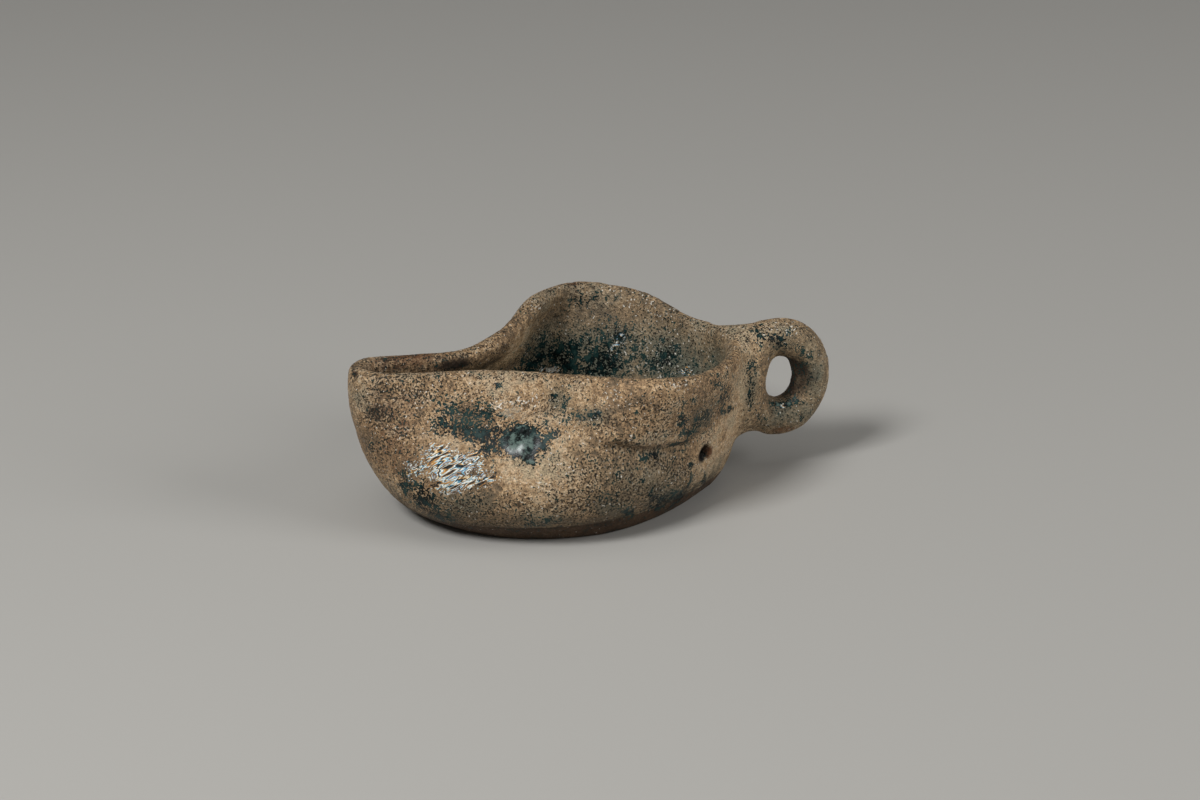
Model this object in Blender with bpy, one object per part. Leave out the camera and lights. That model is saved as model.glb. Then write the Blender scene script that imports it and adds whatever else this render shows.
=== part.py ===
# A glazed ceramic oil lamp: a small bowl thrown on the wheel, its rim pinched into a long
# narrow spout for the wick, with a ring handle luted on opposite the spout.
# X runs from the spout (-X) to the handle (+X), the wheel's axis is Z, and the table is z = 0.
# Bowl, spout and handle are one fired piece of clay, so they are one solid.

import bpy
import bmesh
import math
import numpy as np
from mathutils import Matrix

MM = 0.001

# Body, outside, measured from the wheel's axis
SPOUT_REACH = 60.5 * MM         # axis to the tip of the spout
BACK_REACH = 31.8 * MM          # axis to the back wall, behind the handle's joint
BODY_HALF_WIDTH = 33.2 * MM     # widest part of the belly
BACK_NOSE = 3.5 * MM            # length of the blunt round end under the handle's joint
BACK_BLUNTNESS = 1.5 * MM       # how far beyond that end the flanks would meet

# Rim: its crest rises over the two sides and dips behind the spout and at the handle
TIP_HEIGHT = 37.6 * MM
NECK_HEIGHT = 35.6 * MM
LOBE_HEIGHT = 39.8 * MM
DIP_HEIGHT = 35.2 * MM
JOINT_HEIGHT = 35.6 * MM
NECK_FROM_TIP = 29.5 * MM       # where the rim is lowest behind the spout
LOBE_FROM_AXIS = 1.5 * MM       # where it is highest, a little towards the spout
DIP_FROM_BACK = 6.8 * MM        # where it is lowest beside the handle

# Foot, cut flat off the wheel, and the trimmed strip above it
FOOT_HALF_WIDTH = 24.2 * MM
FOOT_BACK = 21.5 * MM
FOOT_FRONT = 42.0 * MM

# Walls
RIM_WALL = 4.0 * MM
BELLY_WALL = 5.2 * MM
SPOUT_THICKENING = 2.2 * MM     # more clay in the wall towards the tip
FLOOR = 6.0 * MM
HEEL_FILL = 6.0 * MM            # the round inside, where the wall meets the floor
HEEL_HEIGHT = 15.0 * MM
BELLY_WALL_UP_TO = 0.45         # shares of the rim's height between which the wall thins
RIM_WALL_FROM = 0.85
MOST_SLANT = 1.5                # most that a leaning wall's level cut may thicken it
LEAN_STEP = 0.02                # share of the rim's height over which that lean is measured

# Spout, pinched from both sides
SPOUT_WIDTH = 14.0 * MM         # outside, across the two folded walls
SPOUT_NOSE = 8.5 * MM           # length of its rounded nose
FLARE_LENGTH = 40.0 * MM        # from the widest part of the rim to where the spout runs parallel
WIDEST_FROM_AXIS = 3.0 * MM     # the widest part of the rim, a little towards the handle

# Behind its widest part the wall draws in towards the handle. A plain ellipse would be 2 and 0.5.
REAR_ROUNDNESS = 1.65
REAR_TAPER = 0.75

# Ring handle
RING_HEIGHT = 29.0 * MM         # outside, top to bottom
RING_LENGTH = 25.2 * MM         # outside, along X
RING_THICKNESS = 8.8 * MM       # of the clay strap, in the ring's plane
RING_WIDTH = 8.8 * MM           # of the clay strap, across the ring
RING_ROOT_WIDTH = 14.5 * MM     # of the limb that is pressed on to the wall
RING_SINK = 3.1 * MM            # how deep its near limb is pressed into the back wall
RING_RISE = 2.0 * MM            # its top above the dip of the rim

# Soft clay pressed over the ring's joint with the wall: a pad above, one below, and a fillet
# down both sides between them
PAD_LENGTH = 13.0 * MM
PAD_WIDTH = 12.0 * MM
PAD_HEIGHT = 7.0 * MM
PAD_FROM_BACK = 2.8 * MM        # from the back wall out to the middle of a pad
PAD_INSET = 0.6 * MM            # from the top of the ring down to the upper pad
PAD_LIFT = 2.2 * MM             # from the bottom of the ring up to the lower pad
FILLET_LENGTH = 9.0 * MM
FILLET_WIDTH = 19.0 * MM
FILLET_HEIGHT = 27.0 * MM

# A small pit through the skin below the handle's joint
PIT_WIDTH = 2.0 * MM
PIT_HEIGHT = 3.0 * MM
PIT_DEPTH = 2.6 * MM
PIT_FROM_BACK = 14.9 * MM
PIT_ABOVE_TABLE = 15.3 * MM

# Fineness of the finished clay surface
SKIN_STEP = 1.0 * MM
SMOOTHING_PASSES = 8
SMOOTHING = 0.5
KEPT_FACES = 0.135
CUT_MARGIN = 6.0 * MM           # clay left below the table level until the foot is cut

GLAZED_CLAY = (0.33, 0.24, 0.16)
CLAY_ROUGHNESS = 0.4

# How the outer wall stands between foot and rim. Each row holds a share of the rim's height,
# then how far the wall has gone from the foot's edge to the full reach at the spout, at the
# back and at the sides, and how much of the pinch shows there.
WALL_ROWS = (
    # height, front, back, side, pinch
    (0.00, 0.00, 0.00, 0.00, 0.00),
    (0.03, 0.19, 0.42, 0.10, 0.00),
    (0.09, 0.40, 0.62, 0.27, 0.00),
    (0.18, 0.57, 0.75, 0.66, 0.02),
    (0.28, 0.70, 0.87, 0.90, 0.06),
    (0.42, 0.83, 0.95, 1.00, 0.16),
    (0.58, 0.92, 0.99, 0.98, 0.34),
    (0.74, 0.99, 1.00, 0.90, 0.60),
    (0.90, 1.00, 1.00, 0.98, 0.90),
    (1.00, 0.97, 1.00, 0.96, 1.00),
)

# Marks that the maker's fingers left in the soft wall: where along X, how high, on which
# side (-1 is the right-hand side seen from the handle), how long, how tall and how deep.
# A negative depth is a swelling.
FINGER_MARKS = (
    ("thumb pinch", -23 * MM, 31 * MM, -1, 8 * MM, 4.5 * MM, 1.4 * MM),
    ("finger pinch", -17 * MM, 29 * MM, 1, 9 * MM, 8 * MM, 1.8 * MM),
    ("fold under the rim", 8 * MM, 23 * MM, -1, 14 * MM, 2.6 * MM, 0.9 * MM),
    ("rolled lip", 4 * MM, 31 * MM, -1, 12 * MM, 4 * MM, -0.7 * MM),
    ("low swelling", -6 * MM, 14 * MM, -1, 15 * MM, 6 * MM, -0.6 * MM),
    ("side swelling", 2 * MM, 13 * MM, 1, 14 * MM, 7 * MM, -0.5 * MM),
    ("hollow by the handle", 19 * MM, 15 * MM, 1, 9 * MM, 8 * MM, 0.7 * MM),
)

# Where the two sides' rims differ: along X, side, length and rise
RIM_MARKS = (
    ("high shoulder", 15.5 * MM, 1, 7 * MM, 1.7 * MM),
    ("high flare", -13.5 * MM, 1, 4.5 * MM, 0.4 * MM),
    ("dip by the handle", 25.5 * MM, 1, 4.5 * MM, -1.6 * MM),
)

OUTLINE_STEPS = 56              # along one side, from the back to the tip
OUTER_RINGS = 30
CREST_RINGS = 5
INNER_RINGS = 26
RING_STEPS = 40
STRAP_SIDES = 20


def smooth_curve(knots):
    """A curve through (place, value) knots that doesn't overshoot between them."""
    x, y = np.array(knots, float).T
    step, slope = np.diff(x), np.diff(y) / np.diff(x)
    tangent = np.zeros(len(x))
    rising = slope[:-1] * slope[1:] > 0
    before, after = slope[:-1][rising], slope[1:][rising]
    tangent[1:-1][rising] = 2 * before * after / (before + after)
    tangent[0], tangent[-1] = slope[0], slope[-1]

    def value(at):
        at = np.clip(at, x[0], x[-1])
        i = np.clip(np.searchsorted(x, at, side="right") - 1, 0, len(step) - 1)
        t = (at - x[i]) / step[i]
        return (
            y[i] * (1 + 2 * t) * (1 - t) ** 2
            + y[i + 1] * t * t * (3 - 2 * t)
            + step[i] * (tangent[i] * t * (1 - t) ** 2 + tangent[i + 1] * t * t * (t - 1))
        )

    return value


front_share, back_share, side_share, pinch_share = (
    smooth_curve([(row[0], row[column]) for row in WALL_ROWS]) for column in range(1, 5)
)

rim_height = smooth_curve([
    (-SPOUT_REACH, TIP_HEIGHT),
    (NECK_FROM_TIP - SPOUT_REACH, NECK_HEIGHT),
    (-LOBE_FROM_AXIS, LOBE_HEIGHT),
    (BACK_REACH - DIP_FROM_BACK, DIP_HEIGHT),
    (BACK_REACH, JOINT_HEIGHT),
])


def rounding(along):
    """A quarter circle that opens from 0 at the end of a nose to 1 at its full width."""
    return np.sqrt(1 - (1 - np.clip(along, 0, 1)) ** 2)


def outline(height):
    """The wall's plan at a share of the rim's height: points from the back to the tip, y >= 0."""
    tip = -(FOOT_FRONT + (SPOUT_REACH - FOOT_FRONT) * front_share(height))
    back = FOOT_BACK + (BACK_REACH - FOOT_BACK) * back_share(height)
    half = FOOT_HALF_WIDTH + (BODY_HALF_WIDTH - FOOT_HALF_WIDTH) * side_share(height)
    pinch = pinch_share(height)
    widest = WIDEST_FROM_AXIS * pinch + 0.5 * (tip + back) * (1 - pinch)
    u = np.linspace(0, 1, OUTLINE_STEPS + 1)
    x = back + (tip - back) * (1 - np.cos(math.pi * u)) / 2

    # The unpinched bowl is an egg, drawn out towards the spout.
    ahead = np.clip((widest - x) / (widest - tip), 0, 1)
    egg = half * np.sqrt(np.clip(1 - ahead ** 2, 0, 1))

    # The flanks behind run straighter, and a short round end closes them.
    behind = np.clip((x - widest) / (back + BACK_BLUNTNESS - widest), 0, 1)
    flank = half * (1 - behind ** REAR_ROUNDNESS) ** REAR_TAPER
    rear = flank * rounding((back - x) / BACK_NOSE)

    # The pinched rim falls away from its widest part into two parallel folds with a round nose.
    fold = SPOUT_WIDTH / 2
    flare = 0.5 + 0.5 * np.cos(math.pi * np.clip((widest - x) / FLARE_LENGTH, 0, 1))
    pinched = (fold + (half - fold) * flare) * rounding((x - tip) / SPOUT_NOSE)

    y = np.where(x < widest, pinch * pinched + (1 - pinch) * egg, rear)
    y[0] = y[-1] = 0
    return np.stack([x, y], axis=1)


def inward(plan):
    """Unit vectors in the plan that point from an outline into the lamp."""
    along = np.gradient(plan, axis=0)
    along[0], along[-1] = (0, 1), (0, -1)
    normal = np.stack([along[:, 1] * -1, along[:, 0]], axis=1)
    return normal / np.linalg.norm(normal, axis=1, keepdims=True)


def pushed(x, z, side):
    """How far the finger marks push the wall inwards at each point of one side."""
    push = np.zeros_like(x)
    for _, at_x, at_z, on_side, long, tall, deep in FINGER_MARKS:
        if on_side == side:
            push += deep * np.exp(-(((x - at_x) / long) ** 2) - ((z - at_z) / tall) ** 2)
    return push


def rim_at(x, side):
    rim = rim_height(x)
    for _, at_x, on_side, long, rise in RIM_MARKS:
        if on_side == side:
            rim = rim + rise * np.exp(-(((x - at_x) / long) ** 2))
    return rim


def slant(height):
    """How much thicker a level cut through the wall is than the wall, where the wall leans."""
    low, high = max(height - LEAN_STEP, 0), min(height + LEAN_STEP, 1)
    before, after = outline(low), outline(high)
    lean = ((after - before) * inward(outline(height))).sum(axis=1)
    rise = rim_height(before[:, 0]) * (high - low)
    return np.minimum(np.hypot(1, lean / rise), MOST_SLANT)


def inset(plan, distance):
    """The outline moved inwards, cut off where it would cross the middle, with as many points."""
    moved = plan + inward(plan) * np.reshape(distance, (-1, 1))
    ahead = (np.diff(moved, axis=0) * np.diff(plan, axis=0)).sum(axis=1) > 0
    inside = (moved[:, 1] > 0) & np.append(ahead, True) & np.insert(ahead, 0, True)
    kept = np.flatnonzero(inside)
    first, last = moved[kept[0]], moved[kept[-1]]
    slope_first = moved[kept[1]] - first
    slope_last = moved[kept[-2]] - last
    back = first[0] - slope_first[0] * min(first[1] / max(slope_first[1], 1e-9), 1)
    tip = last[0] - slope_last[0] * min(last[1] / max(slope_last[1], 1e-9), 1)
    path = np.concatenate([[(back, 0)], moved[kept], [(tip, 0)]])
    walked = np.insert(np.cumsum(np.linalg.norm(np.diff(path, axis=0), axis=1)), 0, 0)
    wanted = np.insert(np.cumsum(np.linalg.norm(np.diff(plan, axis=0), axis=1)), 0, 0)
    wanted *= walked[-1] / wanted[-1]
    return np.stack([np.interp(wanted, walked, path[:, k]) for k in range(2)], axis=1)


def wall_ring(height, thickness, crest_drop, side):
    """One ring of the wall on one side, moved in by a thickness, with the marks pressed in."""
    plan = outline(height)
    if thickness > 0:
        toward_tip = np.clip((NECK_FROM_TIP - SPOUT_REACH - plan[:, 0]) / NECK_FROM_TIP, 0, 1)
        more = SPOUT_THICKENING * toward_tip * min(1, thickness / RIM_WALL) * (1 - height)
        plan = inset(plan, (thickness + more) * slant(height))
    z = rim_at(plan[:, 0], side) * height - crest_drop
    push = pushed(plan[:, 0], z, side)
    moved = plan + inward(plan) * push[:, None]
    moved[[0, -1], 1] = 0
    return np.stack([moved[:, 0], moved[:, 1] * side, z], axis=1)


def body_rings():
    """The rings of the whole body: up the outside, over the rim, down the inside."""
    rings = []
    crest = RIM_WALL / 2
    rim_start = 1 - crest / LOBE_HEIGHT
    heights = [-CUT_MARGIN / 2 / LOBE_HEIGHT, *rim_start * np.linspace(0, 1, OUTER_RINGS)]
    wall = smooth_curve([
        (0, BELLY_WALL),
        (BELLY_WALL_UP_TO, BELLY_WALL),
        (RIM_WALL_FROM, RIM_WALL),
        (1, RIM_WALL),
    ])
    for height in heights:
        rings.append((height, 0.0, 0.0))
    for k in range(1, CREST_RINGS + 1):
        angle = math.pi * k / (CREST_RINGS + 1)
        rings.append((rim_start, crest * (1 - math.cos(angle)), -crest * math.sin(angle)))
    floor_start = FLOOR / LOBE_HEIGHT
    heel = HEEL_HEIGHT / LOBE_HEIGHT
    for height in rim_start + (floor_start - rim_start) * np.linspace(0, 1, INNER_RINGS):
        fill = HEEL_FILL * max(0, (heel - height) / (heel - floor_start)) ** 2
        rings.append((height, float(wall(height)) + fill, 0.0))
    return rings


def make_body():
    mesh = bmesh.new()
    count = OUTLINE_STEPS
    previous = None
    first = None
    for height, thickness, drop in body_rings():
        left = wall_ring(height, thickness, drop, 1)
        right = wall_ring(height, thickness, drop, -1)
        loop = np.concatenate([left, right[-2:0:-1]])
        verts = [mesh.verts.new(point) for point in loop]
        if previous:
            for i in range(2 * count):
                j = (i + 1) % (2 * count)
                mesh.faces.new((previous[i], previous[j], verts[j], verts[i]))
        else:
            first = verts
        previous = verts
    mesh.faces.new(first[::-1])
    mesh.faces.new(previous)
    bmesh.ops.recalc_face_normals(mesh, faces=mesh.faces)
    return new_object("lamp", mesh)


def make_ring():
    """The handle: a strap of clay bent into an upright ring, its near limb inside the back wall."""
    mesh = bmesh.new()
    centre_x = BACK_REACH - RING_SINK + RING_LENGTH / 2
    centre_z = ring_top - RING_HEIGHT / 2
    half_long = (RING_LENGTH - RING_THICKNESS) / 2
    half_tall = (RING_HEIGHT - RING_THICKNESS) / 2
    loops = []
    for i in range(RING_STEPS):
        turn = 2 * math.pi * i / RING_STEPS
        out = np.array([half_tall * math.cos(turn), 0, half_long * math.sin(turn)])
        out /= np.linalg.norm(out)
        middle = np.array([half_long * math.cos(turn), 0, half_tall * math.sin(turn)])
        middle += (centre_x, 0, centre_z)
        width = RING_WIDTH + (RING_ROOT_WIDTH - RING_WIDTH) * max(0, -math.cos(turn)) ** 2
        loop = []
        for k in range(STRAP_SIDES):
            angle = 2 * math.pi * k / STRAP_SIDES
            point = middle + out * RING_THICKNESS / 2 * math.cos(angle)
            point[1] += width / 2 * math.sin(angle)
            loop.append(mesh.verts.new(point))
        loops.append(loop)
    for i, loop in enumerate(loops):
        after = loops[(i + 1) % RING_STEPS]
        for k in range(STRAP_SIDES):
            j = (k + 1) % STRAP_SIDES
            mesh.faces.new((loop[k], loop[j], after[j], after[k]))
    bmesh.ops.recalc_face_normals(mesh, faces=mesh.faces)
    return new_object("ring handle", mesh)


def make_lump(name, size, centre, turn=0.0):
    """An egg-shaped lump of clay, or the hollow that one leaves."""
    mesh = bmesh.new()
    bmesh.ops.create_icosphere(mesh, subdivisions=3, radius=0.5)
    place = Matrix.Translation(centre) @ Matrix.Rotation(turn, 4, "Z") @ Matrix.Diagonal((*size, 1))
    bmesh.ops.transform(mesh, matrix=place, verts=mesh.verts)
    return helper(new_object(name, mesh))


def make_pit():
    """The hollow that cuts the pit, square to the wall where it stands."""
    x = BACK_REACH - PIT_FROM_BACK
    plan = outline(PIT_ABOVE_TABLE / float(rim_height(x)))
    ahead = plan[::-1]
    facing = inward(plan)[::-1]
    y, in_x, in_y = (
        float(np.interp(x, ahead[:, 0], column))
        for column in (ahead[:, 1], facing[:, 0], facing[:, 1])
    )
    size = (2 * PIT_DEPTH, PIT_WIDTH, PIT_HEIGHT)
    return make_lump("pit", size, (x, -y, PIT_ABOVE_TABLE), math.atan2(-in_y, in_x))


def new_object(name, mesh):
    for face in mesh.faces:
        face.smooth = True
    data = bpy.data.meshes.new(name)
    mesh.to_mesh(data)
    mesh.free()
    piece = bpy.data.objects.new(name, data)
    bpy.context.scene.collection.objects.link(piece)
    return piece


def helper(piece):
    piece.hide_render = True
    piece.display_type = "WIRE"
    return piece


def join(piece, other, operation, name):
    modifier = piece.modifiers.new(name, "BOOLEAN")
    modifier.operation = operation
    modifier.object = other


def make_table():
    """The block below z = 0 that cuts the foot flat."""
    mesh = bmesh.new()
    bmesh.ops.create_cube(mesh, size=1)
    side = 4 * SPOUT_REACH
    place = Matrix.Translation((0, 0, -CUT_MARGIN / 2)) @ Matrix.Diagonal((side, side, CUT_MARGIN, 1))
    bmesh.ops.transform(mesh, matrix=place, verts=mesh.verts)
    table = helper(new_object("below the table", mesh))
    for face in table.data.polygons:
        face.use_smooth = False
    return table


for old in list(bpy.data.objects):
    bpy.data.objects.remove(old, do_unlink=True)

ring_top = DIP_HEIGHT + RING_RISE
lamp = make_body()
ring = helper(make_ring())
pad_size = (PAD_LENGTH, PAD_WIDTH, PAD_HEIGHT)
pad_x = BACK_REACH + PAD_FROM_BACK
upper_z = ring_top - PAD_INSET - PAD_HEIGHT / 2
lower_z = ring_top - RING_HEIGHT + PAD_LIFT + PAD_HEIGHT / 2
fillet_size = (FILLET_LENGTH, FILLET_WIDTH, FILLET_HEIGHT)
lumps = (
    make_lump("upper pad", pad_size, (pad_x, 0, upper_z)),
    make_lump("lower pad", pad_size, (pad_x, 0, lower_z)),
    make_lump("fillet", fillet_size, (BACK_REACH, 0, (upper_z + lower_z) / 2)),
)
for lump in lumps:
    join(ring, lump, "UNION", "press on the " + lump.name)
join(lamp, ring, "UNION", "lute the handle on")

clay = lamp.modifiers.new("one skin of clay", "REMESH")
clay.mode = "VOXEL"
clay.voxel_size = SKIN_STEP
clay.use_smooth_shade = True

wiped = lamp.modifiers.new("wiped smooth", "SMOOTH")
wiped.iterations = SMOOTHING_PASSES
wiped.factor = SMOOTHING

fewer = lamp.modifiers.new("fewer faces", "DECIMATE")
fewer.ratio = KEPT_FACES

join(lamp, make_table(), "DIFFERENCE", "cut flat off the wheel")
join(lamp, make_pit(), "DIFFERENCE", "pit")

glazed_clay = bpy.data.materials.new("glazed clay")
glazed_clay.use_nodes = True
surface = glazed_clay.node_tree.nodes["Principled BSDF"].inputs
surface["Base Color"].default_value = (*GLAZED_CLAY, 1)
surface["Roughness"].default_value = CLAY_ROUGHNESS
surface["Metallic"].default_value = 0
lamp.data.materials.append(glazed_clay)
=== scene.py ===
import math
from functools import partial
import bmesh
import bpy
import numpy as np
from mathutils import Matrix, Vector


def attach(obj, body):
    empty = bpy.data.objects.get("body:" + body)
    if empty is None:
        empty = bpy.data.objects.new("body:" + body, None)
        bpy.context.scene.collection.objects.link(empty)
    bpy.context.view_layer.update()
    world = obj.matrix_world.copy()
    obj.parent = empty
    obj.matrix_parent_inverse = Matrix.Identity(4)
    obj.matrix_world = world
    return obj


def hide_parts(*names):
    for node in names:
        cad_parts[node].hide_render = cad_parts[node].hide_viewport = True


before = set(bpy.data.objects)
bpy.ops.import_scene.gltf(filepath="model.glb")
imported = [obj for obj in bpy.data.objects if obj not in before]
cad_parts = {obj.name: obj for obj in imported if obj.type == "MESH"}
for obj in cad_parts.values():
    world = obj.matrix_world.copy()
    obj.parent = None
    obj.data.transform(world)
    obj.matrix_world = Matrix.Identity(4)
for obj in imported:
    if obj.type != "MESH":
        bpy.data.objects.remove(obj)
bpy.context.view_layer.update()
mm = 0.001
print("frame: the fired clay solid is loaded")


def hexColour(text):
    # sRGB hex to the linear values that Blender works in
    parts = [int(text[k:k + 2], 16) / 255 for k in (1, 3, 5)]
    linear = [c / 12.92 if c <= 0.04045 else ((c + 0.055) / 1.055) ** 2.4 for c in parts]
    return (*linear, 1.0)


def perSize(millimetres):
    # texture scale that gives features of that size on Object coordinates in metres
    return 1 / (millimetres * mm)


def addNode(tree, kind, settings=None, inputs=(), ramp=None):
    # one node with its settings, and values or links for its open sockets, by order or by name
    made = tree.nodes.new(kind)
    for name, value in (settings or {}).items():
        setattr(made, name, value)
    sockets = [socket for socket in made.inputs if socket.enabled]
    for key, value in (inputs.items() if isinstance(inputs, dict) else enumerate(inputs)):
        target = sockets[key] if isinstance(key, int) else next(s for s in sockets if s.name == key)
        if isinstance(value, bpy.types.Node):
            value = next(s for s in value.outputs if s.enabled)
        if isinstance(value, bpy.types.NodeSocket):
            tree.links.new(value, target)
        elif isinstance(value, str) and value.startswith("#"):
            target.default_value = hexColour(value)
        else:
            target.default_value = value
    if ramp:
        stops = made.color_ramp.elements
        while len(stops) < len(ramp):
            stops.new(0.5)
        for stop, (place, colour) in zip(stops, ramp):
            stop.position = place
            stop.color = hexColour(colour)
    return made


def plainMesh(piece, name):
    # what the modifiers make of a piece, as a mesh of its own
    shown = piece.evaluated_get(bpy.context.evaluated_depsgraph_get())
    mesh = bpy.data.meshes.new_from_object(shown)
    mesh.name = name
    piece.modifiers.clear()
    old = piece.data
    piece.data = mesh
    bpy.data.meshes.remove(old)
    return mesh


viewpoint = {
    "azimuth": 17,              # degrees that the camera stands to the left of the lamp's side
    "elevation": 23,
    "distance": 726.4 * mm,
    "aim": (-14 * mm, 0, 28.5 * mm),
    "aside": 11.6 * mm,
    "below": 4.5 * mm,
    "lens": 96,
    "sensor": 36,
}
studio = {
    "floorColour": "#B9B7B2",
    "floorRoughness": 0.85,
    "floorHalf": 2.5,           # metres from its middle to each side
    "skyColour": "#E6E5E2",
    "skyStrength": 0.12,
    # name: turn from straight in front, height above the horizon, distance, side, watts
    "softBoxes": {
        "left soft box": (-57, 47, 1.05, 0.30, 7.2),
        "right soft box": (54, 27, 1.15, 0.55, 4.2),
        "top soft box": (-20, 84, 1.20, 0.90, 1.5),
    },
}


def makeCamera(v):
    turn, tilt = math.radians(v["azimuth"]), math.radians(v["elevation"])
    ahead = Vector((math.sin(turn) * math.cos(tilt), math.cos(turn) * math.cos(tilt), -math.sin(tilt)))
    right = Vector((math.cos(turn), -math.sin(turn), 0))
    up = right.cross(ahead)
    data = bpy.data.cameras.new("camera")
    data.lens = v["lens"]
    data.sensor_width = v["sensor"]
    data.sensor_fit = "HORIZONTAL"
    camera = bpy.data.objects.new("camera", data)
    camera.location = Vector(v["aim"]) - ahead * v["distance"] + right * v["aside"] - up * v["below"]
    camera.rotation_mode = "QUATERNION"
    camera.rotation_quaternion = ahead.to_track_quat("-Z", "Y")
    bpy.context.scene.collection.objects.link(camera)
    bpy.context.scene.camera = camera


def makeStudio(s):
    scene = bpy.context.scene
    scene.view_settings.view_transform = "Standard"
    world = bpy.data.worlds.new("pale room")
    world.use_nodes = True
    sky = world.node_tree.nodes["Background"]
    sky.inputs["Color"].default_value = hexColour(s["skyColour"])
    sky.inputs["Strength"].default_value = s["skyStrength"]
    scene.world = world

    mesh = bpy.data.meshes.new("floor")
    half = s["floorHalf"]
    corners = [(-half, -half, 0), (half, -half, 0), (half, half, 0), (-half, half, 0)]
    mesh.from_pydata(corners, [], [(0, 1, 2, 3)])
    floor = bpy.data.objects.new("floor", mesh)
    scene.collection.objects.link(floor)
    paper = bpy.data.materials.new("matt background paper")
    paper.use_nodes = True
    sheet = paper.node_tree.nodes["Principled BSDF"].inputs
    sheet["Base Color"].default_value = hexColour(s["floorColour"])
    sheet["Roughness"].default_value = s["floorRoughness"]
    mesh.materials.append(paper)

    for name, (turn, height, distance, side, watts) in s["softBoxes"].items():
        turn, height = math.radians(turn), math.radians(height)
        level = math.cos(height)
        toLight = Vector((math.sin(turn) * level, -math.cos(turn) * level, math.sin(height)))
        data = bpy.data.lights.new(name, "AREA")
        data.shape = "SQUARE"
        data.size = side
        data.energy = watts
        box = bpy.data.objects.new(name, data)
        box.location = Vector(viewpoint["aim"]) + toLight * distance
        box.rotation_mode = "QUATERNION"
        box.rotation_quaternion = (-toLight).to_track_quat("-Z", "Y")
        scene.collection.objects.link(box)


makeCamera(viewpoint)
makeStudio(studio)
print("studio: camera, pale floor and three soft boxes")

lampSkin = {
    "merged within": 0.001 * mm,
    "mesh step": 0.585 * mm,    # of the finer mesh
    "evening passes": 88,       # that take out the solid's facets
    "push": 0.6,                # how far each pass moves a point towards its neighbours
    "push back": -0.611,        # and the pass after it away again
    "joint passes": 72,         # that run the clay smooth between handle and wall
    "joint": 33.2 * mm,         # where along the lamp the handle's limb stands
    "ring share": 0.25,         # of those passes that the ring gets, to round its facets
    "ring given back": 0.2 * mm,    # the clay that they take from it
}

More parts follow.
